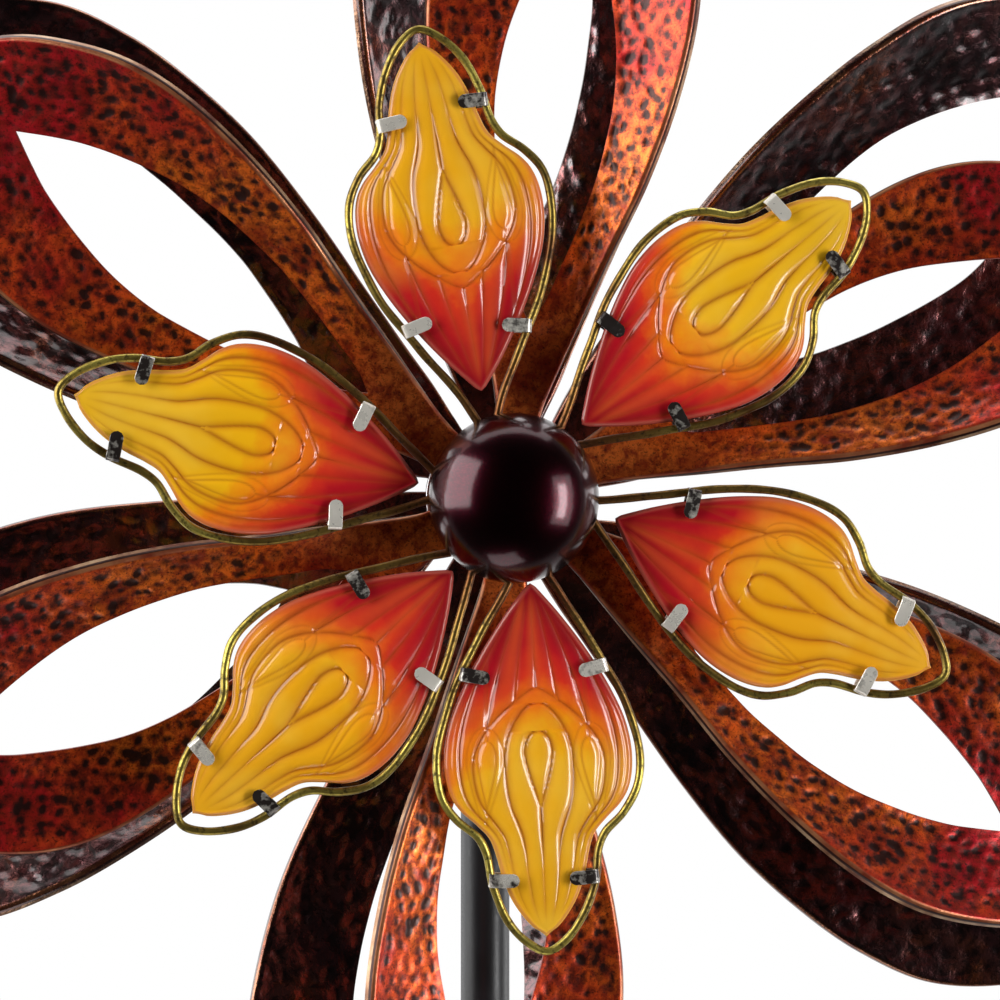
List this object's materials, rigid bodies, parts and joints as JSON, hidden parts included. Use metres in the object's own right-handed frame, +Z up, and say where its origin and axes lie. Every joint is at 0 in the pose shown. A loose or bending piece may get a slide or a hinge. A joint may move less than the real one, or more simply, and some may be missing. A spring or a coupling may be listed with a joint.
{
  "type": "kinetic wind sculpture",
  "caption": "Stake-mounted wind spinner: hammered metal loops and framed glass petals turn as separate front and rear rotors round a domed hub on a horizontal axle.",
  "frame": {"origin": "centre of the underside of the ground fork's step bar, on the pole's middle line, at ground level", "axes": "+Z up the pole, the axle runs along Y and the rotors' front faces -Y, +X to the right as seen from the front"},
  "size_m": [0.5367, 0.1821, 1.905],
  "materials": {
    "front_loop": "hammered metallic copper, dark red to orange, satin gloss",
    "rear_loop": "hammered dark purple-brown metallic, satin gloss",
    "petal_wire": "aged brass wire with bright nickel clips",
    "petal_glass": "glossy moulded glass, red at the hub shading to amber",
    "dome": "deep burgundy high gloss",
    "zinc_steel": "zinc plated",
    "black_steel": "charcoal powder coat, satin"
  },
  "bodies": {
    "stand": {"ground_fork": "black_steel", "lower_pole": "black_steel", "middle_pole": "black_steel", "upper_pole": "black_steel", "pole_head": "black_steel", "pole_head_screw": "zinc_steel", "axle_bolt": "zinc_steel", "rear_spacer": "black_steel", "middle_spacer": "black_steel", "axle_washer": "zinc_steel", "axle_locknut": "zinc_steel"},
    "front_rotor": {"front_loop_1": "front_loop", "front_loop_2": "front_loop", "front_loop_3": "front_loop", "front_loop_4": "front_loop", "front_loop_5": "front_loop", "front_loop_6": "front_loop", "petal_frame_1": "petal_wire", "petal_frame_2": "petal_wire", "petal_frame_3": "petal_wire", "petal_frame_4": "petal_wire", "petal_frame_5": "petal_wire", "petal_frame_6": "petal_wire", "glass_petal_1": "petal_glass", "glass_petal_2": "petal_glass", "glass_petal_3": "petal_glass", "glass_petal_4": "petal_glass", "glass_petal_5": "petal_glass", "glass_petal_6": "petal_glass", "front_hub": "black_steel", "front_loop_clamp": "black_steel", "front_bearing_back": "zinc_steel", "front_bearing_front": "zinc_steel", "petal_hub": "black_steel", "petal_hub_standoff_1": "zinc_steel", "petal_hub_standoff_2": "zinc_steel", "petal_hub_standoff_3": "zinc_steel", "petal_hub_screw_1": "zinc_steel", "petal_hub_screw_2": "zinc_steel", "petal_hub_screw_3": "zinc_steel", "hub_dome": "dome", "dome_screw": "zinc_steel"},
    "rear_rotor": {"rear_loop_1": "rear_loop", "rear_loop_2": "rear_loop", "rear_loop_3": "rear_loop", "rear_loop_4": "rear_loop", "rear_loop_5": "rear_loop", "rear_loop_6": "rear_loop", "rear_hub": "black_steel", "rear_loop_clamp": "black_steel", "rear_bearing_back": "zinc_steel", "rear_bearing_front": "zinc_steel"}
  },
  "joints": [
    {"name": "front_spin", "type": "hinge", "parent": "stand", "child": "front_rotor", "pos_m": [0, -0.105, 1.4], "axis": [0, -1, 0], "continuous": true},
    {"name": "rear_spin", "type": "hinge", "parent": "stand", "child": "rear_rotor", "pos_m": [0, -0.05, 1.4], "axis": [0, -1, 0], "continuous": true}
  ]
}
